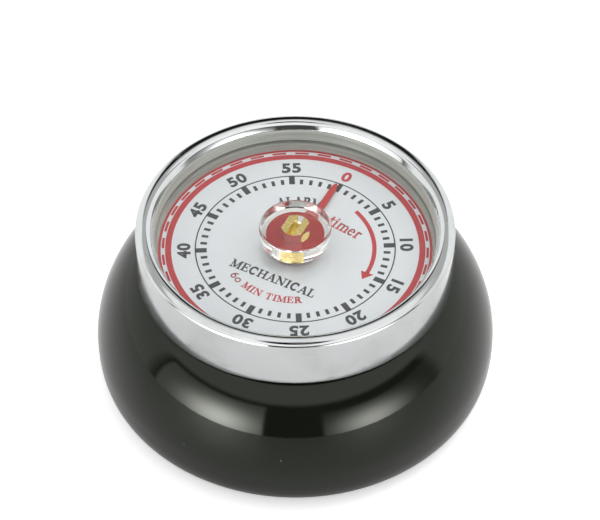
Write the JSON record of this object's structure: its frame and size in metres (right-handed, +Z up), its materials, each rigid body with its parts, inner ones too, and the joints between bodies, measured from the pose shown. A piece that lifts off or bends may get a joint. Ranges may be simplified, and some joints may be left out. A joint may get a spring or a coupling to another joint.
{
  "type": "mechanical kitchen timer",
  "caption": "Round mechanical kitchen timer: glossy bun-shaped case, chrome bezel, white dial under a flat lens, clear turning knob, spring movement and bell inside.",
  "frame": {"origin": "centre of the round face that the timer rests on", "axes": "+Z up through the dial and the setting arbor; +Y towards the side of the dial where the numeral 55 stands; +X to the right as the dial is read"},
  "size_m": [0.07, 0.07, 0.0348],
  "materials": {
    "base_plastic": "fine-grained black moulded plastic",
    "foot_rubber": "matt black rubber",
    "magnet_ferrite": "ground dark ferrite",
    "zinc_steel": "bright zinc plate",
    "case_enamel": "glossy black enamel",
    "bezel_chrome": "polished chrome, a little satin on the side",
    "ring_grey": "satin warm grey",
    "clear_acrylic": "clear polished acrylic",
    "dial_white": "white satin print with dark and red marks",
    "carrier_plastic": "matt black moulded plastic",
    "plate_brass": "fine brushed brass",
    "bush_brass": "turned brass",
    "spring_steel": "blued spring steel",
    "wheel_brass": "stamped brass",
    "staff_steel": "turned steel",
    "lever_steel": "stamped steel",
    "bell_steel": "nickel-plated steel",
    "hand_red": "red paint"
  },
  "bodies": {
    "case": {"base_cover": "base_plastic", "foot_ring": "foot_rubber", "magnet": "magnet_ferrite", "magnet_cup": "zinc_steel", "base_screws": "zinc_steel", "carrier_screws": "zinc_steel", "plate_pillars": "zinc_steel", "pillar_nuts": "zinc_steel", "pillar_screws": "zinc_steel", "stop_pin": "zinc_steel", "spring_post": "zinc_steel", "bell_bridge": "zinc_steel", "bell_spacer": "zinc_steel", "bell_screw": "zinc_steel", "body_shell": "case_enamel", "bezel": "bezel_chrome", "lens_retainer": "ring_grey", "dial_spacer": "ring_grey", "lens": "clear_acrylic", "dial_plate": "dial_white", "dial_carrier": "carrier_plastic", "front_plate": "plate_brass", "back_plate": "plate_brass", "front_bush": "bush_brass", "back_bush": "bush_brass", "mainspring": "spring_steel", "hammer_spring": "spring_steel", "bell": "bell_steel"},
    "setting_group": {"main_arbor": "bush_brass", "arbor_clip": "staff_steel", "knob": "clear_acrylic", "knob_disc": "hand_red", "pointer": "hand_red", "main_wheel": "wheel_brass", "ratchet_wheel": "lever_steel", "click_stud": "staff_steel", "click_spring": "spring_steel", "bell_cam": "lever_steel", "stop_arm": "lever_steel"},
    "click_group": {"click": "lever_steel"},
    "second_group": {"second_arbor": "staff_steel", "second_wheel": "wheel_brass"},
    "third_group": {"third_arbor": "staff_steel", "third_wheel": "wheel_brass"},
    "escape_group": {"escape_arbor": "staff_steel", "escape_wheel": "wheel_brass"},
    "pallet_group": {"pallet_arbor": "staff_steel", "pallet_lever": "lever_steel", "inertia_bar": "wheel_brass"},
    "hammer_group": {"hammer_arbor": "staff_steel", "cam_follower": "lever_steel", "hammer_arm": "lever_steel", "hammer_head": "bush_brass"}
  },
  "joints": [
    {"name": "knob_turn", "type": "hinge", "parent": "case", "child": "setting_group", "pos_m": [0, 0, 0.0331], "axis": [0, 0, 1], "range_deg": [-352, 0]},
    {"name": "second_turn", "type": "hinge", "parent": "case", "child": "second_group", "pos_m": [-0.01278, -0.00465, 0.0134], "axis": [0, 0, 1], "range_deg": [-7.5, 2647.5]},
    {"name": "third_turn", "type": "hinge", "parent": "case", "child": "third_group", "pos_m": [-0.00718, -0.01435, 0.0166], "axis": [0, 0, 1], "range_deg": [-18532.5, 52.5]},
    {"name": "escape_turn", "type": "hinge", "parent": "case", "child": "escape_group", "pos_m": [0.00114, -0.01552, 0.0154], "axis": [0, 0, 1], "range_deg": [-315, 111195]},
    {"name": "pallet_rock", "type": "hinge", "parent": "case", "child": "pallet_group", "pos_m": [0.00734, -0.01326, 0.0103], "axis": [0, 0, 1], "range_deg": [-4, 4]},
    {"name": "click_lift", "type": "hinge", "parent": "setting_group", "child": "click_group", "pos_m": [0, 0.0074, 0.0143], "axis": [0, 0, 1], "range_deg": [0, 10]},
    {"name": "hammer_swing", "type": "hinge", "parent": "case", "child": "hammer_group", "pos_m": [0.014, 0.008, 0.012], "axis": [0, 0, 1], "range_deg": [-14, 3]}
  ],
  "couplings": [
    {"joint": "second_turn", "follows": "knob_turn", "ratio": -7.5},
    {"joint": "third_turn", "follows": "knob_turn", "ratio": 52.5},
    {"joint": "escape_turn", "follows": "knob_turn", "ratio": -315}
  ]
}
